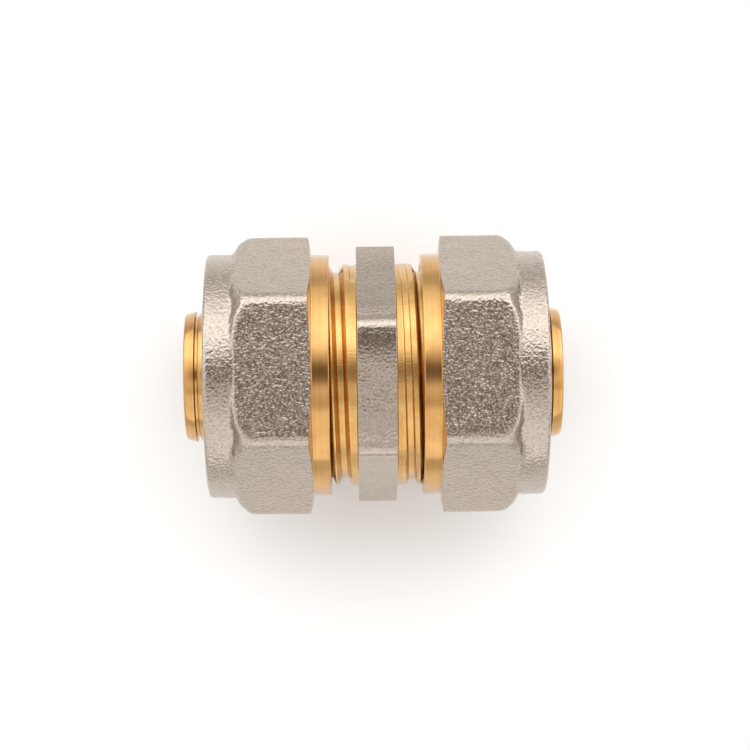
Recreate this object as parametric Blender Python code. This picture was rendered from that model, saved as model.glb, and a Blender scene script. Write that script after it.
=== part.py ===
"""Straight compression coupling for two 26 x 3 mm multilayer pipes.

Metres, +Z up. The bore lies along X, and the coupling lies on one flat of each nut.
Each side is made by one set of functions, with u measured outward from the middle of
the body's hexagon, and v measured outward from a nut's inner end, both in millimetres.
"""

import math

import bmesh
import bpy

MM = 0.001
CLEARANCE = 0.3

# Where things are along X
BODY_X = 0.5
NUT_INNER_U = {"left": 6.95, "right": 6.75}
INSERT_FLOAT = {"left": 1.0, "right": 0.0}
OUTWARD = {"left": -1, "right": 1}

# The thread of the body and the nuts: a right-handed G1, with 11 threads to the inch
PITCH = 2.309
THREAD_CREST = 16.3
THREAD_ROOT = 15.15
CREST_SHARE = 0.12
ROOT_START = 0.38
ROOT_STOP = 0.74
NUT_THREAD_GAP = 0.25
RUN_OUT_SLOPE = 0.7
TIP = 15.0
TIP_SLOPE = 1.2

# Body
BODY_FLATS = 33.2
BODY_CORNER = 1.7
BODY_TURN = 9.75
HEX_HALF = 2.8
HEX_TOP = 19.2
HEX_CHAMFER = 0.6
HEX_CHAMFER_LENGTH = 0.3
LAND_END = 3.9
BODY_END = 13.0
BORE = 8.0
SEAL_BORE = 11.25
SEAL_BORE_START = 5.6
COUNTERBORE = 14.2
COUNTERBORE_START = 10.6

# Nut
NUT_FLATS = 36.0
NUT_CORNER = 2.1
NUT_LENGTH = 17.8
BAND = 17.75
BAND_END = 2.3
NUT_COLLAR = 17.98
COLLAR_START = 13.8
HEX_START = 2.95
HEX_END = 11.5
NUT_EDGE = 0.4
NUT_THREAD_END = 9.6
NUT_CONE_START = 10.0
NUT_CONE_END = 15.6
NUT_CONE = 15.5
NUT_HOLE = 13.3
BAND_EDGE = 0.3
# The turned end face and the forged shoulder, as (v, radius)
END_FACE = ((2.45, 18.2), (HEX_START, 20.7))
SHOULDER = ((HEX_END, 20.7), (12.1, 20.15), (12.6, 19.6), (13.2, 18.7))
MOUTH_CHAMFER = 0.35
LEAD_IN_SLOPE = 1.1
RELIEF_SLOPE = 1.5

# Split ring
RING_INNER_V = 7.4
RING_OUTER_V = 14.2
RING_BORE = 13.15
RING_SLIT = 2.4
RING_RIDGES = 3
RING_NOSE = 1.2
RIDGE_DEPTH = 0.35
RIDGE_FACE = 0.3
RING_MOUTH = 0.2

# Insert
INSERT_BORE = 7.5
NOZZLE_TIP = 27.0
BARB = 9.65
NOZZLE_ROOT = 9.2
SPIGOT = SEAL_BORE - CLEARANCE
SPIGOT_END = SEAL_BORE_START + CLEARANCE
FLANGE = COUNTERBORE - CLEARANCE
FLANGE_START = COUNTERBORE_START + CLEARANCE
FLANGE_END = 12.3
TIP_GROOVE_INNER = 2.05
TIP_BARB = 1.55
TIP_STEP = 0.2
TIP_DROP = 0.35
TIP_EDGE = 0.55
BORE_EDGE = 0.4
BARB_END = 16.4
BARB_FACE = 0.3

# Seals and washer
CORD = 0.6
GROOVE_WIDTH = 2 * (CORD + CLEARANCE)
NOZZLE_GROOVES = {"outer": 22.7, "inner": 19.3}
NOZZLE_SEAL = 9.3
SPIGOT_GROOVE = 8.1
SPIGOT_SEAL = SPIGOT - CORD
WASHER_OUTER = 12.9
WASHER_THICK = 1.0

ROUND_STEPS = 24
# Angles of one sixth of a hexagon, from the middle of a flat, all multiples of 3 degrees
SECTOR = (-27, -15, 0, 15, 27, 30)
FLAT_EDGE = 27


def clear_scene():
    for obj in list(bpy.data.objects):
        bpy.data.objects.remove(obj)


def make_material(name, colour, roughness, metallic):
    material = bpy.data.materials.new(name)
    material.use_nodes = True
    shader = material.node_tree.nodes["Principled BSDF"]
    shader.inputs["Base Color"].default_value = (*colour, 1.0)
    shader.inputs["Roughness"].default_value = roughness
    shader.inputs["Metallic"].default_value = metallic
    material.diffuse_color = (*colour, 1.0)
    return material


def add_object(name, bm, material, parent):
    """Finish a mesh that was built round the world's X axis, and hang it on its parent."""
    bmesh.ops.remove_doubles(bm, verts=bm.verts, dist=0.001 * MM)
    bmesh.ops.recalc_face_normals(bm, faces=bm.faces)
    mesh = bpy.data.meshes.new(name)
    bm.to_mesh(mesh)
    bm.free()
    mesh.shade_smooth()
    mesh.set_sharp_from_angle(angle=math.radians(30))
    mesh.materials.append(material)
    obj = bpy.data.objects.new(name, mesh)
    bpy.context.collection.objects.link(obj)
    obj.parent = parent
    if parent:
        mesh.transform(parent.matrix_world.inverted())
    return obj


def add_axis(name, x, parent):
    """An empty on the bore's axis, which a moving piece hangs on."""
    empty = bpy.data.objects.new(name, None)
    bpy.context.collection.objects.link(empty)
    empty.parent = parent
    empty.location.x = x - (parent.matrix_world.translation.x if parent else 0)
    bpy.context.view_layer.update()
    return empty


def world_x(side, u):
    return (BODY_X + OUTWARD[side] * u) * MM


def spin_ring(side, outline, steps=ROUND_STEPS):
    """A full turn of a closed outline of (u, radius) points about the X axis."""
    bm = bmesh.new()
    verts = [bm.verts.new((world_x(side, u), 0, radius * MM)) for u, radius in outline]
    edges = [bm.edges.new((verts[i - 1], verts[i])) for i in range(len(verts))]
    bmesh.ops.spin(bm, geom=verts + edges, axis=(1, 0, 0), cent=(0, 0, 0),
                   angle=math.tau, steps=steps, use_merge=True)
    return bm


def hex_angles(turn):
    return [turn + 60 * sixth + part for sixth in range(6) for part in SECTOR]


def hex_radius(angle, flats, corner):
    """The outline of a hexagon with rounded corners; angle 0 is the middle of a flat."""
    off_flat = (angle + 30) % 60 - 30
    apothem = flats / 2
    if abs(off_flat) <= FLAT_EDGE:
        return apothem / math.cos(math.radians(off_flat))
    return (apothem - corner) / math.cos(math.radians(30)) + corner


def bridge(bm, rings):
    """Quads between neighbouring rings of vertices, which all have the same count."""
    for first, second in zip(rings, rings[1:]):
        for i in range(len(first)):
            bm.faces.new((first[i - 1], first[i], second[i], second[i - 1]))


def add_ring(bm, angles, x, radii):
    """One ring of vertices. Angle 0 is +Z, and the angle grows from +Z toward -Y."""
    ring = []
    for angle, radius in zip(angles, radii):
        turn = math.radians(angle)
        ring.append(bm.verts.new((x * MM, -radius * math.sin(turn) * MM, radius * math.cos(turn) * MM)))
    return ring


def thread_radius(phase, gap):
    """The thread's outline over one pitch: a narrow crest, a flank, a flat root and a flank."""
    down = (phase - CREST_SHARE) / (ROOT_START - CREST_SHARE)
    up = (1 - phase) / (1 - ROOT_STOP)
    fall = min(max(down, 0), up, 1)
    return THREAD_CREST + gap - (THREAD_CREST - THREAD_ROOT) * fall


def add_thread(bm, angles, start, end, gap, limit):
    """A right-hand helical surface from x=start to x=end.

    Its rows of vertices follow the helix, and are held at the two end planes, where
    limit(x, radius) gives one radius all round.
    """
    stations = (0.0, CREST_SHARE, ROOT_START, ROOT_STOP)
    first_turn = math.floor(start / PITCH) - 2
    last_turn = math.ceil(end / PITCH) + 2
    rows = []
    for turn in range(first_turn, last_turn):
        for station in stations:
            row = []
            for angle in angles:
                x = (turn + station + angle / 360) * PITCH
                held = min(max(x, start), end)
                phase = (held / PITCH - angle / 360) % 1.0
                if held == x:
                    phase = station
                radius = limit(held, thread_radius(phase, gap)) * MM
                theta = math.radians(angle)
                row.append(bm.verts.new((held * MM, -radius * math.sin(theta), radius * math.cos(theta))))
            rows.append(row)
    for low, high in zip(rows, rows[1:]):
        for i in range(len(angles) - 1):
            bm.faces.new((low[i], low[i + 1], high[i + 1], high[i]))
    # One turn on, the end of a row meets the start of the row one pitch higher
    shift = len(stations)
    for index in range(len(rows) - 1 - shift):
        last = rows[index][-1]
        last_up = rows[index + 1][-1]
        first = rows[index + shift][0]
        first_up = rows[index + 1 + shift][0]
        bm.faces.new((last, first, first_up, last_up))


def body_limit(x, radius):
    """Hold the body's thread at the plain land beside the hexagon and at the end chamfer."""
    u = abs(x - BODY_X)
    run_out = THREAD_CREST - max(u - LAND_END, 0) * RUN_OUT_SLOPE
    chamfer = TIP + (BODY_END - u) * TIP_SLOPE
    return min(max(radius, run_out), chamfer)


def make_body(material):
    angles = hex_angles(BODY_TURN)
    bm = bmesh.new()
    count = len(angles)

    def plain(side, u, radius):
        return add_ring(bm, angles, BODY_X + OUTWARD[side] * u, [radius] * count)

    def hexagon(side, u, cut):
        radii = [min(hex_radius(a - BODY_TURN, BODY_FLATS, BODY_CORNER), cut) for a in angles]
        return add_ring(bm, angles, BODY_X + OUTWARD[side] * u, radii)

    left_land = plain("left", LAND_END, THREAD_CREST)
    right_land = plain("right", LAND_END, THREAD_CREST)
    outside = [
        left_land,
        plain("left", HEX_HALF, THREAD_CREST),
        hexagon("left", HEX_HALF, HEX_TOP - HEX_CHAMFER),
        hexagon("left", HEX_HALF - HEX_CHAMFER_LENGTH, HEX_TOP),
        hexagon("right", HEX_HALF - HEX_CHAMFER_LENGTH, HEX_TOP),
        hexagon("right", HEX_HALF, HEX_TOP - HEX_CHAMFER),
        plain("right", HEX_HALF, THREAD_CREST),
        right_land,
    ]
    bridge(bm, outside)
    x_ends = {side: BODY_X + OUTWARD[side] * BODY_END for side in OUTWARD}
    add_thread(bm, angles, x_ends["left"], BODY_X - LAND_END, 0, body_limit)
    add_thread(bm, angles, BODY_X + LAND_END, x_ends["right"], 0, body_limit)
    inside = [plain("left", BODY_END, TIP)]
    bores = ((BODY_END, COUNTERBORE), (COUNTERBORE_START, COUNTERBORE), (COUNTERBORE_START, SEAL_BORE),
             (SEAL_BORE_START, SEAL_BORE), (SEAL_BORE_START, BORE))
    inside += [plain("left", u, radius) for u, radius in bores]
    inside += [plain("right", u, radius) for u, radius in reversed(bores)]
    inside.append(plain("right", BODY_END, TIP))
    bridge(bm, inside)
    return add_object("coupling_body", bm, material, None)


def make_nut(side, material, parent):
    angles = hex_angles(0)
    inner_x = BODY_X + OUTWARD[side] * NUT_INNER_U[side]
    bm = bmesh.new()

    def ring(v, radius):
        return add_ring(bm, angles, inner_x + OUTWARD[side] * v, [radius] * len(angles))

    def shell(v, turned):
        radii = [min(hex_radius(a, NUT_FLATS, NUT_CORNER), turned) for a in angles]
        return add_ring(bm, angles, inner_x + OUTWARD[side] * v, radii)

    relief = THREAD_CREST + NUT_THREAD_GAP
    mouth = relief + MOUTH_CHAMFER
    outside = [ring(0, mouth), ring(0, BAND - BAND_EDGE), ring(BAND_EDGE, BAND), ring(BAND_END, BAND)]
    collar = ((COLLAR_START, NUT_COLLAR), (NUT_LENGTH - NUT_EDGE, NUT_COLLAR),
              (NUT_LENGTH, NUT_COLLAR - NUT_EDGE))
    outside += [shell(v, radius) for v, radius in END_FACE + SHOULDER + collar]
    outside += [ring(NUT_LENGTH, NUT_HOLE + NUT_EDGE), ring(NUT_LENGTH - NUT_EDGE, NUT_HOLE)]
    outside += [ring(NUT_CONE_END, NUT_HOLE), ring(NUT_CONE_START, NUT_CONE)]
    outside += [ring(NUT_THREAD_END, relief)]
    bridge(bm, outside)

    def nut_limit(x, radius):
        v = abs(x - inner_x)
        lead_in = mouth - v * LEAD_IN_SLOPE
        end_relief = relief - (NUT_THREAD_END - v) * RELIEF_SLOPE
        return max(radius, lead_in, end_relief)

    low, high = sorted((inner_x, inner_x + OUTWARD[side] * NUT_THREAD_END))
    add_thread(bm, angles, low, high, NUT_THREAD_GAP, nut_limit)
    return add_object(side + "_nut", bm, material, parent)


def nut_cone(v):
    fall = (NUT_CONE - NUT_HOLE) / (NUT_CONE_END - NUT_CONE_START)
    return NUT_CONE - fall * (v - NUT_CONE_START)


def make_split_ring(side, material, parent):
    gap = CLEARANCE / math.cos(math.atan2(nut_cone(0) - nut_cone(1), 1))
    outline = [(RING_INNER_V, RING_BORE + RING_MOUTH), (RING_INNER_V, nut_cone(NUT_CONE_START) - gap),
               (NUT_CONE_START, nut_cone(NUT_CONE_START) - gap), (RING_OUTER_V, nut_cone(RING_OUTER_V) - gap),
               (RING_OUTER_V, RING_BORE)]
    ridge = (RING_OUTER_V - RING_NOSE - RING_INNER_V) / RING_RIDGES
    for number in range(RING_RIDGES):
        crest = RING_OUTER_V - RING_NOSE - ridge * number
        outline += [(crest, RING_BORE), (crest - RIDGE_FACE, RING_BORE + RIDGE_DEPTH)]
    bm = bmesh.new()
    start = math.asin(RING_SLIT / 2 / RING_BORE)
    verts = []
    for v, radius in outline:
        x = world_x(side, NUT_INNER_U[side] + v)
        verts.append(bm.verts.new((x, radius * MM * math.sin(start), -radius * MM * math.cos(start))))
    edges = [bm.edges.new((verts[i - 1], verts[i])) for i in range(len(verts))]
    bmesh.ops.spin(bm, geom=verts + edges, axis=(1, 0, 0), cent=(0, 0, 0),
                   angle=math.tau - 2 * start, steps=ROUND_STEPS)
    open_edges = [edge for edge in bm.edges if edge.is_boundary]
    bmesh.ops.holes_fill(bm, edges=open_edges)
    return add_object(side + "_split_ring", bm, material, parent)


def groove(centre, land_outside, land_inside, bottom):
    """The outline of an O-ring groove, from its outer edge to its inner edge."""
    half = GROOVE_WIDTH / 2
    return [(centre + half, land_outside), (centre + half, bottom),
            (centre - half, bottom), (centre - half, land_inside)]


def make_insert(side, material, parent):
    nozzle_bottom = NOZZLE_SEAL - CORD - CLEARANCE
    spigot_bottom = SPIGOT_SEAL - CORD - CLEARANCE
    outline = [(NOZZLE_TIP, INSERT_BORE + BORE_EDGE), (NOZZLE_TIP, BARB - TIP_EDGE),
               (NOZZLE_TIP - TIP_STEP, BARB - TIP_DROP), (NOZZLE_TIP - TIP_BARB, BARB),
               (NOZZLE_TIP - TIP_BARB, NOZZLE_ROOT), (NOZZLE_TIP - TIP_GROOVE_INNER, NOZZLE_ROOT)]
    outline += groove(NOZZLE_GROOVES["outer"], BARB, NOZZLE_ROOT, nozzle_bottom)
    outline += groove(NOZZLE_GROOVES["inner"], BARB, NOZZLE_ROOT, nozzle_bottom)
    outline += [(BARB_END, BARB), (BARB_END - BARB_FACE, NOZZLE_ROOT), (FLANGE_END, NOZZLE_ROOT),
                (FLANGE_END, FLANGE), (FLANGE_START, FLANGE), (FLANGE_START, SPIGOT)]
    outline += groove(SPIGOT_GROOVE, SPIGOT, SPIGOT, spigot_bottom)
    outline += [(SPIGOT_END, SPIGOT), (SPIGOT_END, INSERT_BORE), (NOZZLE_TIP - BORE_EDGE, INSERT_BORE)]
    moved = [(u + INSERT_FLOAT[side], radius) for u, radius in outline]
    return add_object(side + "_insert", spin_ring(side, moved), material, parent)


def make_o_ring(name, side, u, radius, material, parent):
    centre = u + INSERT_FLOAT[side]
    circle = [(centre + CORD * math.cos(math.tau * i / 6), radius + CORD * math.sin(math.tau * i / 6))
              for i in range(6)]
    return add_object(name, spin_ring(side, circle), material, parent)


def make_washer(side, material, parent):
    start = FLANGE_END + CLEARANCE + INSERT_FLOAT[side]
    end = start + WASHER_THICK
    hole = NOZZLE_ROOT + CLEARANCE
    outline = [(start, hole), (start, WASHER_OUTER), (end, WASHER_OUTER), (end, hole)]
    return add_object(side + "_insulating_washer", spin_ring(side, outline), material, parent)


def make_side(side, materials, body):
    travel = add_axis(side + "_ring_travel", world_x(side, NUT_INNER_U[side] + RING_INNER_V), body)
    turn = add_axis(side + "_nut_turn", world_x(side, NUT_INNER_U[side]), travel)
    float_axis = add_axis(side + "_insert_float", world_x(side, FLANGE_START), body)
    make_split_ring(side, materials["brass"], travel)
    make_nut(side, materials["nickel"], turn)
    make_insert(side, materials["brass"], float_axis)
    make_washer(side, materials["washer"], float_axis)
    for place, u in NOZZLE_GROOVES.items():
        make_o_ring(side + "_nozzle_o_ring_" + place, side, u, NOZZLE_SEAL, materials["rubber"], float_axis)
    make_o_ring(side + "_insert_seal_o_ring", side, SPIGOT_GROOVE, SPIGOT_SEAL, materials["rubber"], float_axis)


def main():
    clear_scene()
    materials = {
        "nickel": make_material("nickel_plated_brass", (0.46, 0.41, 0.35), 0.38, 1.0),
        "brass": make_material("turned_brass", (0.75, 0.45, 0.16), 0.28, 1.0),
        "rubber": make_material("epdm_rubber", (0.02, 0.02, 0.02), 0.7, 0.0),
        "washer": make_material("white_nylon", (0.8, 0.78, 0.72), 0.5, 0.0),
    }
    body = make_body(materials["nickel"])
    for side in OUTWARD:
        make_side(side, materials, body)


main()
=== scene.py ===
# %% [markdown]
# # A compression coupling for multilayer pipe
# Two pipes meet in this fitting. Each is pushed over a brass nozzle, and a nut squeezes a split ring
# onto it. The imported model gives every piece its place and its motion. This lesson rebuilds each
# piece finely around it, with real threads, forged hexagons and turned edges, and then its finishes.

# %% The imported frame
import math

import bmesh
import bpy
from mathutils import Matrix, Vector, noise


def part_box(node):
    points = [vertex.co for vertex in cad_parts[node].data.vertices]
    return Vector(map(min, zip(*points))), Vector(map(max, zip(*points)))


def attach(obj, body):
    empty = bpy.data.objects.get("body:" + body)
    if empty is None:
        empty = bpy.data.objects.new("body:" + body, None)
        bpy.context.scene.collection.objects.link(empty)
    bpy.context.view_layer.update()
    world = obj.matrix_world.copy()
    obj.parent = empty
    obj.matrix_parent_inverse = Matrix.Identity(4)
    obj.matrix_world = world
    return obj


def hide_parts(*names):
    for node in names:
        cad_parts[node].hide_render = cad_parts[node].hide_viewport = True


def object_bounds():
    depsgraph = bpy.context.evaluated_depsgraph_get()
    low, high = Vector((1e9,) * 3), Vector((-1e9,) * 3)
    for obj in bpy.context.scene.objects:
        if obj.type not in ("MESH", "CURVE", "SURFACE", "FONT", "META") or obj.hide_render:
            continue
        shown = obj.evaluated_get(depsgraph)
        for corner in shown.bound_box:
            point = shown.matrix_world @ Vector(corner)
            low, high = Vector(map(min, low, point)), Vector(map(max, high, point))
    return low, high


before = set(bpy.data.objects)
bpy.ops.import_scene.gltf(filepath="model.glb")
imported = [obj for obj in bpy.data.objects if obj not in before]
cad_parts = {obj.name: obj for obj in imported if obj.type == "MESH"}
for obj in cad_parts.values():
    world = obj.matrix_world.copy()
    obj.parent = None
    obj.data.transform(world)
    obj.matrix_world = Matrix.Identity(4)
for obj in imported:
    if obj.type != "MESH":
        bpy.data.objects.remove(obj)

cad_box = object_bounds()

# %% [markdown]
# ## Where things are
# Both sides of the fitting are alike, so each piece is designed once, in millimetres, along +X from
# the middle of the body's hexagon. The left side is the same design turned half a turn about the
# vertical, which keeps its thread right-handed. A mirror image would make it left-handed.

# %% Sizes read from the frame
MM = 0.001
SIDES = {"left": -1, "right": 1}


def span(node):
    """The lowest and highest X of a CAD node, in millimetres."""
    low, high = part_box(node)
    return low.x / MM, high.x / MM


MIDDLE = sum(span("coupling_body")) / 2


def outward(side, node):
    """How far a node's inner and outer ends are from the middle, in millimetres."""
    low, high = span(node)
    if side == "right":
        return low - MIDDLE, high - MIDDLE
    return MIDDLE - high, MIDDLE - low


for side in SIDES:
    print(side, "nut from %.2f to %.2f mm" % outward(side, side + "_nut"))

# %% [markdown]
# ## Turning and screwing
# A lathe makes nearly every surface here, so the main tool is `bmesh.ops.spin` with a full turn. A
# closed outline gives a finished ring. An open outline gives a sleeve whose two end rings meet the
# next sleeve vertex by vertex, and one merge joins them. Small fillets on the outline's corners
# catch the light as real turned edges do.

# %% Outlines and sleeves
STEPS = 192
SECTORS = 12
STEP_ANGLE = math.tau / STEPS
MERGE = 0.0005


def fillet(points, segments=4):
    """Round an open outline's corners. Each point is (u, radius) or (u, radius, fillet)."""
    out = []
    for i, point in enumerate(points):
        size = point[2] if len(point) == 3 else 0
        here = Vector(point[:2])
        if not size or i in (0, len(points) - 1):
            out.append(here)
            continue
        back = (Vector(points[i - 1][:2]) - here).normalized()
        ahead = (Vector(points[i + 1][:2]) - here).normalized()
        half = back.angle(ahead) / 2
        centre = here + (back + ahead).normalized() * (size / math.sin(half))
        first = here + back * (size / math.tan(half)) - centre
        last = here + ahead * (size / math.tan(half)) - centre
        sweep = first.angle_signed(last)
        for k in range(segments + 1):
            arm = first.copy()
            arm.rotate(Matrix.Rotation(-sweep * k / segments, 2))
            out.append(centre + arm)
    return out


def divide(points, longest):
    """Split an outline's long stretches, so that a shaped surface has points to move."""
    out = [points[0]]
    for here, ahead in zip(points, points[1:]):
        pieces = max(1, math.ceil((ahead - here).length / longest))
        out += [here.lerp(ahead, k / pieces) for k in range(1, pieces + 1)]
    return out


def sleeve(points, closed=False, steps=STEPS, lift=0.0):
    """Spin an outline of (u, radius) one full turn about X, moving it along by `lift` on the way."""
    bm = bmesh.new()
    verts = [bm.verts.new((p[0], 0, p[1])) for p in points]
    edges = [bm.edges.new(pair) for pair in zip(verts, verts[1:])]
    if closed:
        edges.append(bm.edges.new((verts[-1], verts[0])))
    bmesh.ops.spin(bm, geom=verts + edges, axis=(1, 0, 0), cent=(0, 0, 0), dvec=(lift / steps, 0, 0),
                   angle=math.tau / SECTORS, steps=steps // SECTORS)
    sector = bm.verts[:] + bm.edges[:] + bm.faces[:]
    bmesh.ops.spin(bm, geom=sector, axis=(1, 0, 0), cent=(0, 0, 0), dvec=(lift / SECTORS, 0, 0),
                   angle=math.tau * (SECTORS - 1) / SECTORS, steps=SECTORS - 1, use_duplicate=True)
    bmesh.ops.remove_doubles(bm, verts=bm.verts, dist=MERGE)
    return bm


def polar(co):
    """The angle round X from +Z toward -Y, and the radius."""
    return math.atan2(-co.y, co.z), math.hypot(co.y, co.z)


def at(u, angle, radius):
    return Vector((u, -radius * math.sin(angle), radius * math.cos(angle)))


def on_step(angle):
    return round(angle / STEP_ANGLE) * STEP_ANGLE


def reshape(bm, rule):
    """Move every vertex to rule(u, angle, radius), which returns the three new values."""
    for vert in bm.verts:
        angle, radius = polar(vert.co)
        vert.co = at(*rule(vert.co.x, on_step(angle), radius))
    return bm


def join(parts):
    """Put several bmeshes into one, and merge the rings where they meet."""
    whole = bmesh.new()
    for part in parts:
        mesh = bpy.data.meshes.new("part")
        part.to_mesh(mesh)
        whole.from_mesh(mesh)
        bpy.data.meshes.remove(mesh)
        part.free()
    bmesh.ops.remove_doubles(whole, verts=whole.verts, dist=MERGE)
    bmesh.ops.recalc_face_normals(whole, faces=whole.faces)
    return whole


print("one turn has", STEPS, "steps of", round(math.degrees(STEP_ANGLE), 3), "degrees")

# %% [markdown]
# ## The thread
# The thread is a G1, with 11 turns to the inch. Its helix is a sleeve that moves along one pitch
# while it is spun one turn, so that each turn meets the next. Its outline has points at the corners
# of the groove. Every vertex then gets its radius from one formula, which makes the groove fade
# beside the hexagon, where the cutting tool is drawn back.

# %% Screw thread
PITCH = 2.309
CREST = 16.3
DEPTH = 1.15
ROOT_HALF = 0.43
FLANK = 0.60
ROOT_ROUND = 0.2
# Distances from a groove's middle that get a row of vertices
ROWS = (-1.03, -0.96, -0.8, -0.65, -0.53, -0.46, -0.38, -0.28, -0.14, 0.0, 0.14, 0.28, 0.38, 0.46, 0.53,
        0.65, 0.8, 0.96, 1.03)
# The groove starts at this share of its depth, where its middle is this far out, and it is full this
# much further on
FIRST_CUT = 0.1
FADE_START = {"left": 3.3, "right": 3.95}
FADE_LENGTH = {"left": 1.5, "right": 2.0}
# How far out a groove's middle is at an angle of minus a quarter turn
GROOVE_AT = {"left": 7.0, "right": 6.2}
QUARTER = math.pi / 2


def ease(t):
    t = min(max(t, 0.0), 1.0)
    return t * t * (3 - 2 * t)


def soft_min(a, b, width):
    """The lesser of two values, with a rounded change-over of about that width."""
    h = max(width - abs(a - b), 0.0) / width if width else 0.0
    return min(a, b) - h * h * width / 4


def fade(centre, side):
    if centre < FADE_START[side]:
        return 0.0
    return FIRST_CUT + (1 - FIRST_CUT) * ease((centre - FADE_START[side]) / FADE_LENGTH[side])


def groove(u, angle, side, fades=False):
    """How deep the thread's groove is at a point of the barrel, from 0 on its crests."""
    turns = (angle + QUARTER) / math.tau
    nearest = round((u - GROOVE_AT[side]) / PITCH - turns)
    centre = GROOVE_AT[side] + PITCH * (nearest + turns)
    floor_depth = DEPTH * fade(centre, side) if fades else DEPTH
    flank = floor_depth + (ROOT_HALF - abs(u - centre)) * DEPTH / FLANK
    return max(soft_min(flank, floor_depth, ROOT_ROUND), 0.0)


def screw(start, end, side, radius_at):
    """A helical sleeve between two planes. It meets a plain ring where radius_at(u, angle) is even."""
    at_start = GROOVE_AT[side] + PITCH / 4
    low = math.floor((start - at_start) / PITCH) - 2
    high = math.ceil((end - at_start) / PITCH) + 1
    line = [(at_start + PITCH * turn + row, CREST) for turn in range(low, high) for row in ROWS]
    bm = sleeve(line, lift=PITCH)

    def onto_thread(u, angle, radius):
        held = min(max(u, start), end)
        return held, angle, radius_at(held, angle)

    reshape(bm, onto_thread)
    bmesh.ops.remove_doubles(bm, verts=bm.verts, dist=MERGE)
    return bm


print("thread depth", DEPTH, "mm, pitch", PITCH, "mm")

# %% [markdown]
# ## Hexagons
# A forged hexagon has flat faces and rounded corners, and its flats can bow down a little toward
# them. The formula below gives its outline as a radius for each angle. Evenly spaced steps would
# leave only three points on a corner, so a gentle warp gathers them there and spreads them on the
# flats, where a few are enough.

# %% Hexagon outline
GATHER = 0.7
CROWN_WIDTH = 4.0
CROWN_POWER = 1.5


def hexagon(angle, flats, corner, turn=0.0, crown=0.0):
    """A rounded hexagon's radius. At angle `turn` is the middle of a flat, crowned at its edges."""
    sixth = math.radians(60)
    off = abs((angle - turn + sixth / 2) % sixth - sixth / 2)
    apothem = flats / 2
    half_flat = (apothem - corner) * math.tan(sixth / 2)
    along = apothem * math.tan(off)
    if along <= half_flat:
        near_edge = max(0.0, 1 - (half_flat - along) / CROWN_WIDTH)
        return (apothem - crown * near_edge ** CROWN_POWER) / math.cos(off)
    reach = (apothem - corner) / math.cos(sixth / 2)
    beta = sixth / 2 - off
    return reach * math.cos(beta) + math.sqrt(corner ** 2 - (reach * math.sin(beta)) ** 2) - crown


def gather(angle, turn, amount):
    """Draw the steps together at the corners of a hexagon."""
    corner = turn + math.radians(30)
    return angle - amount * GATHER / 6 * math.sin(6 * (angle - corner))


print("a 36 mm nut is", round(2 * hexagon(math.radians(30), 36, 2.1), 2), "mm over its corners")

# %% [markdown]
# ## From millimetres to the frame
# A finished design is scaled to metres, turned for its side and moved to the middle. It is then
# given its materials face by face, hung on its CAD body, and put in place of the CAD node.


def finish_piece(bm, node, side, body, materials, pick=None, sharp=32):
    """Make the object that stands for a CAD node. pick(face) chooses among the materials, and edges
    that turn by more than `sharp` degrees stay crisp."""
    if pick:
        for face in bm.faces:
            face.material_index = pick(face)
    place = Matrix.Translation((MIDDLE * MM, 0, 0))
    if side == "left":
        place = place @ Matrix.Rotation(math.pi, 4, "Z")
    bmesh.ops.transform(bm, matrix=place @ Matrix.Scale(MM, 4), verts=bm.verts)
    bmesh.ops.recalc_face_normals(bm, faces=bm.faces)
    mesh = bpy.data.meshes.new(node + "_detail")
    bm.to_mesh(mesh)
    open_edges = sum(not edge.is_manifold for edge in bm.edges)
    bm.free()
    for material in materials:
        mesh.materials.append(material)
    mesh.shade_smooth()
    mesh.set_sharp_from_angle(angle=math.radians(sharp))
    piece = bpy.data.objects.new(node + "_detail", mesh)
    bpy.context.scene.collection.objects.link(piece)
    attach(piece, body)
    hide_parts(node)
    print(piece.name, len(mesh.polygons), "faces,", open_edges, "open edges")
    return piece


# %% [markdown]
# ## Finishes
# Colours are written as sRGB hex values, the way a paint chart gives them, and one function turns
# them into the linear values that light needs. One helper adds a node with its settings and links.

# %% Colour and node helpers
def linear(hex_colour):
    """sRGB hex to linear RGBA."""
    out = []
    for k in (0, 2, 4):
        c = int(hex_colour[k:k + 2], 16) / 255
        out.append(c / 12.92 if c <= 0.04045 else ((c + 0.055) / 1.055) ** 2.4)
    return (*out, 1.0)


def new_material(name):
    """A material with its shader, ready for its nodes."""
    material = bpy.data.materials.new(name)
    material.use_nodes = True
    return material, material.node_tree, material.node_tree.nodes["Principled BSDF"]


def add(tree, kind, settings=None, **inputs):
    """Add a node. Each input is a value, or the output socket that feeds it."""
    added = tree.nodes.new(kind)
    for key, value in (settings or {}).items():
        setattr(added, key, value)
    for key, value in inputs.items():
        socket = added.inputs[int(key[1:])] if key[1:].isdigit() else added.inputs[key.replace("_", " ")]
        if isinstance(value, bpy.types.NodeSocket):
            tree.links.new(value, socket)
        else:
            socket.default_value = value
    return added


def per_mm(size):
    """The texture scale that makes one pattern cell this many millimetres."""
    return 1 / (size * MM)


# %% [markdown]
# ### Shot-blasted nickel plate
# The nuts are forged, blasted with fine shot and plated with a few microns of nickel. The plate is
# warm grey and follows every dimple, so a face that mirrors the dark ceiling is full of bright
# specks, and one that mirrors a soft light is an even satin. The dimples are about 0.4 mm across,
# and a cell pattern mixed with noise gives them their pebbled look. The body is blasted more
# lightly, so its flats are smoother. Here and there the plate has missed a tiny pit, which is brown.

# %% Nickel finish
PEBBLE_SHARE = 0.6
SWELL_SIZE = 2.2
PIT_SPACING = 2.8


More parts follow.
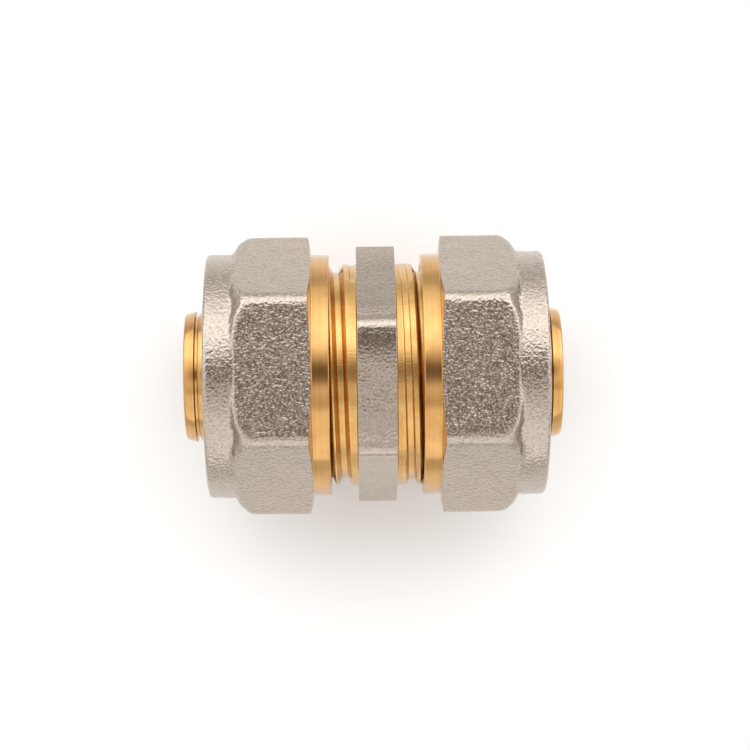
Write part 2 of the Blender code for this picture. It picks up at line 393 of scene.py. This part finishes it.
def blasted_nickel(name, dimple, depth):
    material, tree, shader = new_material(name)
    place = add(tree, "ShaderNodeTexCoord").outputs["Object"]
    coarse = add(tree, "ShaderNodeTexNoise", Vector=place, Scale=per_mm(dimple), Detail=1.0,
                 Roughness=0.5)
    fine = add(tree, "ShaderNodeTexVoronoi", {"feature": "SMOOTH_F1"}, Vector=place,
               Scale=per_mm(dimple), Smoothness=0.35)
    swell = add(tree, "ShaderNodeTexNoise", Vector=place, Scale=per_mm(SWELL_SIZE), Detail=3.0)
    height = add(tree, "ShaderNodeMath", {"operation": "MULTIPLY_ADD"}, i0=fine.outputs[0],
                 i1=PEBBLE_SHARE, i2=coarse.outputs[0])
    bump = add(tree, "ShaderNodeBump", Strength=1.0, Distance=depth * MM, Height=height.outputs[0])
    tone = add(tree, "ShaderNodeValToRGB", Fac=coarse.outputs[0])
    tone.color_ramp.elements[0].position = 0.3
    tone.color_ramp.elements[0].color = linear("AA9E93")
    tone.color_ramp.elements[1].position = 0.6
    tone.color_ramp.elements[1].color = linear("B9ADA1")
    patch = add(tree, "ShaderNodeMapRange", Value=swell.outputs[0], From_Min=0.3, From_Max=0.7,
                To_Min=0.13, To_Max=0.19)
    spots = add(tree, "ShaderNodeTexVoronoi", Vector=place, Scale=per_mm(PIT_SPACING))
    pits = add(tree, "ShaderNodeMapRange", Value=spots.outputs[0], From_Min=0.03, From_Max=0.05,
               To_Min=0.3, To_Max=1.0)
    colour = add(tree, "ShaderNodeMix", {"data_type": "RGBA"}, Factor=pits.outputs[0])
    colour.inputs["A"].default_value = linear("4A3B2C")
    tree.links.new(tone.outputs[0], colour.inputs["B"])
    tree.links.new(colour.outputs["Result"], shader.inputs["Base Color"])
    tree.links.new(patch.outputs[0], shader.inputs["Roughness"])
    tree.links.new(bump.outputs[0], shader.inputs["Normal"])
    shader.inputs["Metallic"].default_value = 1.0
    return material


nickel = blasted_nickel("shot_blasted_nickel_plate", dimple=0.42, depth=0.083)
fine_nickel = blasted_nickel("lightly_blasted_nickel_plate", dimple=0.4, depth=0.042)
print(nickel.name, fine_nickel.name)

# %% [markdown]
# ### Turned brass
# After plating, the threads, bands and nozzles are machined back to bare brass. A lathe tool leaves
# rings, so the pattern changes only along X and is the same all the way round. The rings are cut
# with a feed of about 0.15 mm, and oxide darkens some of them. A thin film of cutting oil stays on
# the metal, which is a coat with paler highlights. The thread tool also chatters, which leaves short
# ticks across the cut, about 0.3 mm apart. The bores are paler, since nothing has tarnished them.

# %% Brass finish
# Broad bands are this many rings wide, and a tick is squeezed this much along the cut
BAND_RINGS = 5
CLOUD_SIZE = 3.0
BAND_SHARE = 0.6
TICK_SPACING = 0.3
TICK_SQUEEZE = 0.16
OIL_FILM = 0.4
OIL_ROUGHNESS = 0.12


def turned_brass(name, bright, dull, feed, depth, roughness, chatter=0.0):
    material, tree, shader = new_material(name)
    place = add(tree, "ShaderNodeTexCoord").outputs["Object"]
    parts = add(tree, "ShaderNodeSeparateXYZ", Vector=place)
    rings = add(tree, "ShaderNodeTexNoise", {"noise_dimensions": "1D"}, W=parts.outputs["X"],
                Scale=per_mm(feed), Detail=3.0, Roughness=0.65)
    bands = add(tree, "ShaderNodeTexNoise", {"noise_dimensions": "1D"}, W=parts.outputs["X"],
                Scale=per_mm(feed * BAND_RINGS), Detail=2.0)
    cloud = add(tree, "ShaderNodeTexNoise", Vector=place, Scale=per_mm(CLOUD_SIZE), Detail=4.0)
    stain = add(tree, "ShaderNodeMath", {"operation": "MULTIPLY_ADD"}, i0=bands.outputs[0],
                i1=BAND_SHARE, i2=cloud.outputs[0])
    tone = add(tree, "ShaderNodeValToRGB", Fac=stain.outputs[0])
    tone.color_ramp.elements[0].position = 0.55
    tone.color_ramp.elements[0].color = linear(dull)
    tone.color_ramp.elements[1].position = 0.95
    tone.color_ramp.elements[1].color = linear(bright)
    along = add(tree, "ShaderNodeVectorMath", {"operation": "MULTIPLY"}, i0=place,
                i1=(TICK_SQUEEZE, 1.0, 1.0))
    ticks = add(tree, "ShaderNodeTexNoise", Vector=along.outputs[0], Scale=per_mm(TICK_SPACING),
                Detail=2.0)
    height = add(tree, "ShaderNodeMath", {"operation": "MULTIPLY_ADD"}, i0=ticks.outputs[0], i1=chatter,
                 i2=rings.outputs[0])
    bump = add(tree, "ShaderNodeBump", Strength=1.0, Distance=depth * MM, Height=height.outputs[0])
    tree.links.new(tone.outputs[0], shader.inputs["Base Color"])
    tree.links.new(bump.outputs[0], shader.inputs["Normal"])
    shader.inputs["Metallic"].default_value = 1.0
    shader.inputs["Roughness"].default_value = roughness
    shader.inputs["Coat Weight"].default_value = OIL_FILM
    shader.inputs["Coat Roughness"].default_value = OIL_ROUGHNESS
    return material


brass = turned_brass("turned_brass", "D0A262", "C18F52", feed=0.15, depth=0.006, roughness=0.15)
thread_brass = turned_brass("thread_cut_brass", "D6AD6E", "C29350", feed=0.22, depth=0.005,
                            roughness=0.24, chatter=3.0)
bored_brass = turned_brass("bored_brass", "E6CC98", "D6B47C", feed=0.2, depth=0.004, roughness=0.22)
print(brass.name, thread_brass.name, bored_brass.name)

# %% [markdown]
# ### Rubber and nylon
# The seals are moulded black EPDM, which is nearly matt. The washer is milky nylon, so a little
# light sinks in before it comes back out.

# %% Rubber and nylon finishes
SKIN_DEPTH = 0.01
SCATTER_DEPTH = 0.8


def moulded(name, colour, roughness, grain, scatter=0.0):
    material, tree, shader = new_material(name)
    place = add(tree, "ShaderNodeTexCoord").outputs["Object"]
    skin = add(tree, "ShaderNodeTexNoise", Vector=place, Scale=per_mm(grain), Detail=3.0)
    tone = add(tree, "ShaderNodeMix", {"data_type": "RGBA"}, Factor=skin.outputs[0])
    tone.inputs["A"].default_value = linear(colour[0])
    tone.inputs["B"].default_value = linear(colour[1])
    bump = add(tree, "ShaderNodeBump", Strength=0.6, Distance=SKIN_DEPTH * MM, Height=skin.outputs[0])
    tree.links.new(tone.outputs["Result"], shader.inputs["Base Color"])
    tree.links.new(bump.outputs[0], shader.inputs["Normal"])
    shader.inputs["Roughness"].default_value = roughness
    shader.inputs["Subsurface Weight"].default_value = scatter
    shader.inputs["Subsurface Scale"].default_value = SCATTER_DEPTH * MM
    return material


rubber = moulded("moulded_epdm_rubber", ("161616", "242322"), 0.55, grain=0.2)
nylon = moulded("milky_nylon", ("E9E4DA", "F4F0E8"), 0.42, grain=0.4, scatter=0.25)
print(rubber.name, nylon.name)

# %% [markdown]
# ## The body
# The body is one forging. Its hexagon keeps the nickel plate, and a lathe has cut the two threaded
# barrels, the plain lands beside the hexagon and the stepped bore. Two of the hexagon's corners lie
# where the dies met, so they were trimmed and are sharper than the other four. The body is made as
# four sleeves: hexagon with lands, two threads, and the bore with both end faces.

# %% Coupling body
BODY_FLATS = 33.2
TRIMMED_CORNER = 0.45
DIE_CORNER = 2.2
BODY_TURN = math.radians(9.75)
HEX_HALF = 2.82
HEX_TOP = 19.0
LAND_END = 2.99
# A chamfer of this size joins the land to the side of the hexagon
NECK = 0.12
TRIMMED_CROWN = 0.15
DIE_CROWN = 0.37
# How fast a corner turns from trimmed to rounded, and where that starts
ROUNDING = 2
ROUNDING_START = 0.4
# The flats of the forging wave by this height, and this many waves fit in a millimetre
BODY_WAVE = 0.035
BODY_WAVES = 0.45
HEX_STEP = 0.4
# Two surfaces nearer than this count as one
SLACK = 0.01
# The plate starts this far below the middle of a flat
PLATE_EDGE = 0.2
# The places of the materials in the lists of the body and the nuts
PLATE, TURNED, THREAD = 0, 1, 2
BODY_END = (span("coupling_body")[1] - span("coupling_body")[0]) / 2
END_RADIUS = 15.0
CHAMFER_SLOPE = 1.2
BORE = 8.0
SEAL_BORE = 11.25
SEAL_BORE_START = 5.6
COUNTERBORE = 14.2
COUNTERBORE_START = 10.6


# The left thread's first shallow cut reaches its inner end. It leaves a slit there beside the land, up
# to 0.12 mm wide, so the body prints some open edges.
def body_thread(side):
    def radius_at(u, angle):
        chamfer = END_RADIUS + (BODY_END - u) * CHAMFER_SLOPE
        return min(CREST - groove(u, angle, side, fades=True), chamfer)

    return screw(LAND_END, BODY_END, side, radius_at)


def body_hexagon():
    half = [(LAND_END, CREST), (HEX_HALF + NECK, CREST), (HEX_HALF, CREST + NECK),
            (HEX_HALF, HEX_TOP, 0.16), (0, HEX_TOP)]
    half = divide(fillet(half), HEX_STEP)
    outline = half + [Vector((-p.x, p.y)) for p in reversed(half[:-1])]

    def rule(u, angle, radius):
        share = max(0.0, (radius - CREST - NECK) / (HEX_TOP - CREST - NECK))
        warped = gather(angle, BODY_TURN, share)
        if not share:
            return u, angle, min(radius, CREST) if abs(u) > HEX_HALF + NECK / 2 else radius
        # The dies part at two corners, which are trimmed sharp. The other four are rounded.
        rounded = ease(ROUNDING * abs(math.cos(warped - BODY_TURN)) - ROUNDING_START)
        corner = TRIMMED_CORNER + (DIE_CORNER - TRIMMED_CORNER) * rounded
        crown = TRIMMED_CROWN + (DIE_CROWN - TRIMMED_CROWN) * rounded
        top = hexagon(warped, BODY_FLATS, corner, BODY_TURN, crown)
        top += BODY_WAVE * noise.noise(at(u, warped, top) * BODY_WAVES)
        return u, warped, CREST + NECK + share * (top - CREST - NECK)

    return reshape(sleeve(outline), rule)


def body_bore():
    half = [(BODY_END, END_RADIUS), (BODY_END, COUNTERBORE, 0.15),
            (COUNTERBORE_START, COUNTERBORE, 0.1), (COUNTERBORE_START, SEAL_BORE, 0.2),
            (SEAL_BORE_START, SEAL_BORE, 0.1),
            (SEAL_BORE_START, BORE, 0.2), (0, BORE)]
    half = fillet(half)
    outline = half + [Vector((-p.x, p.y)) for p in reversed(half[:-1])]
    return sleeve(outline)


def body_face(face):
    middle = face.calc_center_median()
    radius = polar(middle)[1]
    if abs(middle.x) < HEX_HALF - SLACK and radius > BODY_FLATS / 2 - PLATE_EDGE:
        return PLATE
    return THREAD if abs(middle.x) > HEX_HALF and radius > END_RADIUS - SLACK else TURNED


left_thread = body_thread("left")
bmesh.ops.rotate(left_thread, verts=left_thread.verts, cent=(0, 0, 0),
                 matrix=Matrix.Rotation(math.pi, 3, "Z"))
whole = join([body_hexagon(), body_thread("right"), left_thread, body_bore()])
finish_piece(whole, "coupling_body", "right", "coupling_body",
             [fine_nickel, brass, thread_brass], body_face)

# %% [markdown]
# ## The nuts
# Each nut is a forging with a round collar, a sloping shoulder and a hexagon. The lathe has then cut
# a band at its inner end, and a steep end face that meets the hexagon in a wavy line. Where the
# forging die made the change from shoulder to flat, it is soft, and where the tool cut it is crisp.
# So the outline is spun, and each ring then takes the lesser of the turned and the hexagonal radius,
# but never less than the collar's, which stays round.

# %% Nuts
NUT_FLATS = 36.0
NUT_CORNER = 2.1
BAND = 17.75
BAND_START = -0.13
BAND_END = 2.42
FACE_END = 3.0
FACE_RIM = 20.9
UNCUT = 21.4
SHOULDER = [(11.0, 21.25), (11.6, 20.85), (12.2, 20.3), (12.7, 19.6), (13.15, 18.8)]
SHOULDER_START = 10.9
COLLAR_START = 13.6
COLLAR = 17.97
HOLE = 13.3
HOLE_CHAMFER = 0.45
NUT_CONE = 15.5
NUT_LENGTH = outward("right", "right_nut")[1] - outward("right", "right_nut")[0]
THREAD_END = 9.6
CONE_START = 10.0
CONE_END = 15.6
THREAD_GAP = 0.22
MOUTH = 0.12
MOUTH_SLOPE = 1.1
RELIEF_LENGTH = 0.3
RELIEF_SLOPE = 1.5
NUT_STEP = 0.24
# The outside is further out than the band less this skin, or on the collar's end away from its hole
OUTER_SKIN = 0.3
END_SKIN = 0.05
END_HOLE = 0.5
# The forging is this soft where the shoulder meets a flat, and softer still at the corners
FORGE_SOFT = 0.55
CORNER_SOFT = 0.35
CORNER_RATE = 3.2
CORNER_START = 2.0
# The shoulder reaches out beside a flat's edges and back in its middle, between these distances
FACET_REACH = 0.34
FACET_BACK = 0.1
BESIDE_START = 0.3
BESIDE_WIDTH = 0.5
CORNER_TIP = 0.05
REACH_START = 8.6
REACH_RISE = 2.2
REACH_END = 15.6
REACH_FALL = 1.8
# Height and number per millimetre of the forging's waves, and the collar's flat end, which has none
FORGED_WAVES = ((0.04, 0.4), (0.015, 1.3))
END_ZONE = 0.3
# How far the end face's bright edge climbs at the corners, and where the collar's end is plated
WAVE = 0.22
COLLAR_PLATE = 0.46
THREAD_SKIN = 0.2


def nut_thread(side, inner):
    mouth = CREST + THREAD_GAP + MOUTH

    def radius_at(u, angle):
        v = u - inner
        threaded = CREST + THREAD_GAP - groove(u, angle, side)
        relief = CREST + THREAD_GAP - max(THREAD_END - RELIEF_LENGTH - v, 0) * RELIEF_SLOPE
        return max(threaded, mouth - (v - BAND_START) * MOUTH_SLOPE, relief)

    return screw(inner + BAND_START, inner + THREAD_END, side, radius_at)


def nut_shell(inner):
    mouth = CREST + THREAD_GAP + MOUTH
    outline = [(BAND_START, mouth), (BAND_START, BAND, 0.18), (BAND_END, BAND, 0.15),
               (FACE_END, FACE_RIM), (FACE_END, UNCUT), (SHOULDER_START, UNCUT), *SHOULDER,
               (COLLAR_START, COLLAR, 0.9), (NUT_LENGTH, COLLAR, 0.6),
               (NUT_LENGTH, HOLE + HOLE_CHAMFER), (NUT_LENGTH - HOLE_CHAMFER, HOLE),
               (CONE_END, HOLE, 0.3), (CONE_START, NUT_CONE, 0.2), (THREAD_END, CREST + THREAD_GAP)]
    points = [(p[0] + inner, *p[1:]) for p in outline]
    points = divide(fillet(points), NUT_STEP)

    def rule(u, angle, radius):
        v = u - inner
        on_side = radius > BAND - OUTER_SKIN and v > BAND_START + END_SKIN
        on_end = v > NUT_LENGTH - END_SKIN and radius > HOLE + END_HOLE
        if not (on_side or on_end):
            return u, angle, radius
        warped = gather(angle, 0.0, 1.0)
        forged = v > FACE_END - SLACK
        flat = hexagon(warped, NUT_FLATS, NUT_CORNER)
        # From 0 in the middle of a flat to 1 on a corner
        edgeward = abs(math.sin(3 * warped))
        at_corner = ease(CORNER_RATE * edgeward - CORNER_START)
        softness = FORGE_SOFT + CORNER_SOFT * at_corner if v > SHOULDER_START else 0.0
        radius = max(soft_min(radius, flat, softness), min(radius, COLLAR))
        # The shoulder stands further out beside a flat's edges, so the flat ends in a straighter line
        beside = ease((edgeward - BESIDE_START) / BESIDE_WIDTH)
        reach = FACET_REACH * beside * ease((1 - edgeward) / CORNER_TIP) - FACET_BACK * (1 - beside)
        u += reach * ease((v - REACH_START) / REACH_RISE) * ease((REACH_END - v) / REACH_FALL)
        if forged and v < NUT_LENGTH - END_ZONE:
            spot = at(u, warped, radius)
            radius += sum(height * noise.noise(spot * count) for height, count in FORGED_WAVES)
        return u, warped, radius

    return reshape(sleeve(points), rule)


def nut_faces(inner):
    """Brass where the lathe has cut: inside, on the band, and a little way up the end face."""
    def pick(face):
        middle = face.calc_center_median()
        angle, radius = polar(middle)
        v = middle.x - inner
        if v > NUT_LENGTH - END_ZONE and radius > HOLE + COLLAR_PLATE:
            return PLATE
        if radius < BAND - OUTER_SKIN:
            cut = v < THREAD_END and radius < CREST + THREAD_GAP + THREAD_SKIN
            return THREAD if cut else TURNED
        wave = WAVE * (0.5 - 0.5 * math.cos(6 * angle))
        return TURNED if v < BAND_END + END_SKIN + wave else PLATE

    return pick


for side in SIDES:
    inner = outward(side, side + "_nut")[0]
    nut = join([nut_shell(inner), nut_thread(side, inner)])
    finish_piece(nut, side + "_nut", side, side + "_nut",
                 [nickel, brass, thread_brass], nut_faces(inner))

# %% [markdown]
# ## The split rings
# The ring is turned from brass with a cone that the nut presses on and ridges that bite the pipe,
# and then slit so that it can close. It is spun a little less than a full turn, and its two cut
# ends are filled.

# %% Split rings
RING_BORE = 13.15
RING_SLIT = 2.4
RING_GAP = 0.33
RIDGES = 3
RIDGE_DEPTH = 0.4
RIDGE_SLOPE = 0.35
# The first ridge's distance from the nose, and how much of the ring's length has no ridges
NOSE_LAND = 1.2
LANDS = 1.6
RING_STEPS = 160


def nut_cone(v):
    return NUT_CONE - (NUT_CONE - HOLE) * (v - CONE_START) / (CONE_END - CONE_START)


def ring_outline(inner, start, end):
    flat = nut_cone(CONE_START) - RING_GAP
    nose = nut_cone(end - inner) - RING_GAP
    outline = [(start, RING_BORE + 0.35), (start, flat, 0.25), (inner + CONE_START, flat, 0.4),
               (end, nose, 0.1), (end, RING_BORE + 0.05)]
    pitch = (end - start - LANDS) / RIDGES
    for number in range(RIDGES):
        crest = end - NOSE_LAND - pitch * number
        outline += [(crest, RING_BORE, 0.04), (crest - RIDGE_SLOPE, RING_BORE + RIDGE_DEPTH, 0.08)]
    return fillet(outline)


def split_ring(side):
    bm = bmesh.new()
    inner = outward(side, side + "_nut")[0]
    points = ring_outline(inner, *outward(side, side + "_split_ring"))
    start = math.asin(RING_SLIT / 2 / RING_BORE)
    # The slit is at the bottom of the CAD ring on both sides
    verts = [bm.verts.new(at(p[0], math.pi + start, p[1])) for p in points]
    edges = [bm.edges.new((verts[i - 1], verts[i])) for i in range(len(verts))]
    bmesh.ops.spin(bm, geom=verts + edges, axis=(1, 0, 0), cent=(0, 0, 0),
                   angle=math.tau - 2 * start, steps=RING_STEPS)
    bmesh.ops.holes_fill(bm, edges=[edge for edge in bm.edges if edge.is_boundary])
    return bm


for side in SIDES:
    finish_piece(split_ring(side), side + "_split_ring", side, side + "_split_ring",
                 [brass])

# %% [markdown]
# ## The inserts
# The insert carries water and the seals. Its nozzle has a tapered barb at the tip, a narrow groove
# behind it, and two grooves for the O-rings. Its flange seats in the body, and its spigot holds one
# more O-ring. One closed outline, with a fillet on every edge, makes it in a single spin.

# %% Inserts
INSERT_BORE = 7.5
BARB = 9.65
LAND = 9.38
NOZZLE_ROOT = 9.2
FLANGE = 13.9
SPIGOT = 10.95
CORD = 0.6
SEAL_RADIUS = 9.3
SPIGOT_SEAL = SPIGOT - CORD
SLOT_HALF = 0.85
SLOT_CLEARANCE = 0.12
# Distances back from the nozzle's tip, and the spigot's length
BARB_END = 1.55
NECK_START = 1.6
NECK_END = 2.05
LAND_START = 2.1
ROOT_START = 10.6
ROOT_FULL = 10.9
SPIGOT_LENGTH = 5
# The outline starts and ends in the bore, this far from its two ends
BORE_STEP = 5
# The barb tapers by this much at its tip, and the neck behind it is this much below the root
BARB_TAPER = 0.4
NECK_DEPTH = 0.25
WASHER_GAP = 0.3
BORE_SLACK = 0.02


def seal_groove(centre, outer_land, inner_land, seal):
    bottom = seal - CORD - SLOT_CLEARANCE
    return [(centre + SLOT_HALF, outer_land, 0.08), (centre + SLOT_HALF, bottom, 0.12),
            (centre - SLOT_HALF, bottom, 0.12), (centre - SLOT_HALF, inner_land, 0.08)]


def insert_outline(side):
    inner, tip = outward(side, side + "_insert")
    seals = {name: sum(outward(side, side + "_" + name)) / 2 for name in
             ("nozzle_o_ring_outer", "nozzle_o_ring_inner", "insert_seal_o_ring")}
    flange = outward(side, side + "_insulating_washer")[0] - WASHER_GAP
    outline = [(tip - BORE_STEP, INSERT_BORE), (tip, INSERT_BORE, 0.3),
               (tip, BARB - BARB_TAPER, 0.35), (tip - BARB_END, BARB, 0.06),
               (tip - NECK_START, NOZZLE_ROOT - NECK_DEPTH, 0.08),
               (tip - NECK_END, NOZZLE_ROOT - NECK_DEPTH, 0.08), (tip - LAND_START, LAND, 0.06)]
    outline += seal_groove(seals["nozzle_o_ring_outer"], BARB, NOZZLE_ROOT, SEAL_RADIUS)
    outline += seal_groove(seals["nozzle_o_ring_inner"], BARB, NOZZLE_ROOT, SEAL_RADIUS)
    outline += [(tip - ROOT_START, BARB, 0.1), (tip - ROOT_FULL, NOZZLE_ROOT, 0.1),
                (flange, NOZZLE_ROOT, 0.15), (flange, FLANGE, 0.15),
                (inner + SPIGOT_LENGTH, FLANGE, 0.15), (inner + SPIGOT_LENGTH, SPIGOT, 0.12)]
    outline += seal_groove(seals["insert_seal_o_ring"], SPIGOT, SPIGOT, SPIGOT_SEAL)
    outline += [(inner, SPIGOT, 0.3), (inner, INSERT_BORE, 0.25), (inner + BORE_STEP, INSERT_BORE)]
    return fillet(outline)


def insert_faces(face):
    return 1 if polar(face.calc_center_median())[1] < INSERT_BORE + BORE_SLACK else 0


for side in SIDES:
    insert = sleeve(insert_outline(side), closed=True)
    finish_piece(insert, side + "_insert", side, side + "_insert", [brass, bored_brass],
                 insert_faces)

# %% [markdown]
# ## Seals and washers
# An O-ring is a circle spun round the bore, and a washer is a rectangle with small fillets.

# %% O-rings and washers
SEALS = {"nozzle_o_ring_outer": SEAL_RADIUS, "nozzle_o_ring_inner": SEAL_RADIUS,
         "insert_seal_o_ring": SPIGOT_SEAL}
WASHER_RIM = 12.9
WASHER_EDGE = 0.12
SEAL_POINTS = 20
SEAL_STEPS = 144


def o_ring(centre, radius):
    circle = [(centre + CORD * math.cos(math.tau * k / SEAL_POINTS),
               radius + CORD * math.sin(math.tau * k / SEAL_POINTS)) for k in range(SEAL_POINTS)]
    return sleeve(circle, closed=True, steps=SEAL_STEPS)


def washer(start, end):
    hole = NOZZLE_ROOT + WASHER_GAP
    middle = (start + end) / 2
    outline = [(middle, hole), (start, hole, WASHER_EDGE), (start, WASHER_RIM, WASHER_EDGE),
               (end, WASHER_RIM, WASHER_EDGE), (end, hole, WASHER_EDGE), (middle, hole)]
    return sleeve(fillet(outline)[:-1], closed=True, steps=SEAL_STEPS)


for side in SIDES:
    for name, radius in SEALS.items():
        node_name = side + "_" + name
        centre = sum(outward(side, node_name)) / 2
        finish_piece(o_ring(centre, radius), node_name, side, side + "_insert",
                     [rubber], sharp=60)
    washer_name = side + "_insulating_washer"
    finish_piece(washer(*outward(side, washer_name)), washer_name, side, side + "_insert",
                 [nylon])

# %% [markdown]
# ## Camera
# The coupling lies on its flats and is seen from straight above through a long lens. The camera
# stands a little to the front and to the left, and is turned slightly in its hand.

# %% Camera
DISTANCE = 0.367
LENS = 119.0
# How far the lens leans from straight above, and its roll, in degrees
TO_THE_LEFT = 0.5
TO_THE_FRONT = 2.55
ROLL = 0.75
aim = Vector((0.0003, -0.0001, 0.0))
look_from = Vector((-math.sin(math.radians(TO_THE_LEFT)), -math.sin(math.radians(TO_THE_FRONT)), 1.0))
look_from.normalize()
across = Vector((1, 0, 0)) - look_from * look_from.x
across.normalize()
above = look_from.cross(across)
roll = math.radians(ROLL)
right_hand = across * math.cos(roll) - above * math.sin(roll)
up_hand = across * math.sin(roll) + above * math.cos(roll)
camera_data = bpy.data.cameras.new("camera")
camera_data.lens = LENS
camera_data.clip_start = 0.01
camera = bpy.data.objects.new("camera", camera_data)
bpy.context.scene.collection.objects.link(camera)
turn = Matrix((right_hand, up_hand, look_from)).transposed()
camera.matrix_world = Matrix.Translation(aim + look_from * DISTANCE) @ turn.to_4x4()
bpy.context.scene.camera = camera
print("camera at", [round(c, 3) for c in camera.matrix_world.translation])

# %% [markdown]
# ## Floor
# The coupling lies on white paper, so metal that faces down mirrors a pale ground. The paper's colour
# has a painted pool of light: it is painted brightest around the object and darker further out, which
# keeps the sides of the nuts a mid grey. A smooth change with distance does this, and nothing else shows
# on the floor.

# %% Floor
# Where the painted pool of light on the paper starts to fade and ends, and its painted tones
PAINTED_POOL_START = 25.0
PAINTED_POOL_END = 150.0
PAINTED_POOL_TONE = 0.95
PAINTED_DIM_TONE = 0.54
HALF_FLOOR = 3.0
PAPER_ROUGHNESS = 0.9
floor_z = cad_box[0].z
floor_bm = bmesh.new()
bmesh.ops.create_grid(floor_bm, x_segments=1, y_segments=1, size=HALF_FLOOR)
bmesh.ops.translate(floor_bm, vec=(0, 0, floor_z), verts=floor_bm.verts)
floor_mesh = bpy.data.meshes.new("floor")
floor_bm.to_mesh(floor_mesh)
floor_bm.free()
floor = bpy.data.objects.new("floor", floor_mesh)
bpy.context.scene.collection.objects.link(floor)
paper, paper_tree, paper_shader = new_material("white_paper_with_painted_pool")
paper_way = add(paper_tree, "ShaderNodeTexCoord").outputs["Object"]
paper_off = add(paper_tree, "ShaderNodeVectorMath", {"operation": "SUBTRACT"}, i0=paper_way,
                i1=(0, 0, floor_z))
paper_far = add(paper_tree, "ShaderNodeVectorMath", {"operation": "LENGTH"}, i0=paper_off.outputs[0])
# Painted pool of light: the paper's colour is painted brighter near the object and darker further out
painted_pool_tone = add(paper_tree, "ShaderNodeMapRange",
                 {"interpolation_type": "SMOOTHSTEP", "data_type": "FLOAT"},
                 Value=paper_far.outputs["Value"], From_Min=PAINTED_POOL_START * MM, From_Max=PAINTED_POOL_END * MM,
                 To_Min=PAINTED_POOL_TONE, To_Max=PAINTED_DIM_TONE)
paper_tree.links.new(painted_pool_tone.outputs[0], paper_shader.inputs["Base Color"])
paper_shader.inputs["Roughness"].default_value = PAPER_ROUGHNESS
floor_mesh.materials.append(paper)

# %% [markdown]
# ## Light
# Metal shows what is around it, so this light is a tent and not a lamp. There is a dark gap overhead
# where the camera stands, long in the direction of the bore. Two soft boxes hang beside the gap, the
# brighter one at the back, and the light falls off toward the horizon. The two lists give the
# brightness by the angle from straight up, and the gap and the boxes make every stripe on the brass.

# %% Light tent
GAIN = 1.5
FULL = 2.0
SHADE = (1.0, 0.86, 0.74)
GAP_LENGTH = 0.82
# Radians to each side of X in which one list gives way to the other
SHARED = 0.8
TOWARD_PLUS_Y = [(0, 0.12), (6, 0.19), (11, 0.44), (17, 0.80), (24, 1.10), (31, 1.38), (38, 1.50),
                 (58, 1.34), (70, 1.0), (84, 0.74), (100, 0.55), (180, 0.4)]
TOWARD_MINUS_Y = [(0, 0.12), (5, 0.18), (9, 0.32), (14, 0.66), (19, 0.70), (27, 0.54), (33, 0.56),
                  (36, 0.86), (60, 0.86), (75, 0.98), (90, 0.98), (110, 0.5), (180, 0.3)]


def glow(tree, steps, angle):
    """A colour ramp of the tent's brightness by the angle from straight up. Dim parts are warmer."""
    ramp = add(tree, "ShaderNodeValToRGB", Fac=angle)
    elements = ramp.color_ramp.elements
    while len(elements) < len(steps):
        elements.new(1.0)
    for element, (degrees, level) in zip(elements, steps):
        warm = 1 - ease(level)
        element.position = degrees / 180
        element.color = [level / FULL * (1 + warm * (shade - 1)) for shade in SHADE] + [1.0]
    return ramp.outputs["Color"]


world = bpy.data.worlds.new("light_tent")
bpy.context.scene.world = world
world.use_nodes = True
tent = world.node_tree
way = add(tent, "ShaderNodeTexCoord").outputs["Generated"]
parts = add(tent, "ShaderNodeSeparateXYZ", Vector=way)
# A direction counts as nearer the top the less it leans toward Y, so the dark gap is longer along X
lean = add(tent, "ShaderNodeMath", {"operation": "MULTIPLY"}, i0=parts.outputs["Y"],
           i1=parts.outputs["Y"])
rest = add(tent, "ShaderNodeMath", {"operation": "SUBTRACT"}, i0=1.0, i1=lean.outputs[0])
level = add(tent, "ShaderNodeMath", {"operation": "SQRT"}, i0=rest.outputs[0])
top = add(tent, "ShaderNodeMix", {"data_type": "FLOAT"}, Factor=GAP_LENGTH)
tent.links.new(parts.outputs["Z"], top.inputs["A"])
tent.links.new(level.outputs[0], top.inputs["B"])
from_top = add(tent, "ShaderNodeMath", {"operation": "ARCCOSINE"}, i0=top.outputs["Result"])
angle = add(tent, "ShaderNodeMath", {"operation": "DIVIDE"}, i0=from_top.outputs[0], i1=math.pi)
aside = add(tent, "ShaderNodeMath", {"operation": "ABSOLUTE"}, i0=parts.outputs["X"])
heading = add(tent, "ShaderNodeMath", {"operation": "ARCTAN2"}, i0=parts.outputs["Y"],
              i1=aside.outputs[0])
share = add(tent, "ShaderNodeMapRange", {"interpolation_type": "SMOOTHSTEP"}, Value=heading.outputs[0],
            From_Min=-SHARED, From_Max=SHARED)
both = add(tent, "ShaderNodeMix", {"data_type": "RGBA"}, Factor=share.outputs[0])
tent.links.new(glow(tent, TOWARD_MINUS_Y, angle.outputs[0]), both.inputs["A"])
tent.links.new(glow(tent, TOWARD_PLUS_Y, angle.outputs[0]), both.inputs["B"])
tent.links.new(both.outputs["Result"], tent.nodes["Background"].inputs["Color"])
tent.nodes["Background"].inputs["Strength"].default_value = GAIN * FULL
bpy.context.scene.view_settings.view_transform = "Standard"
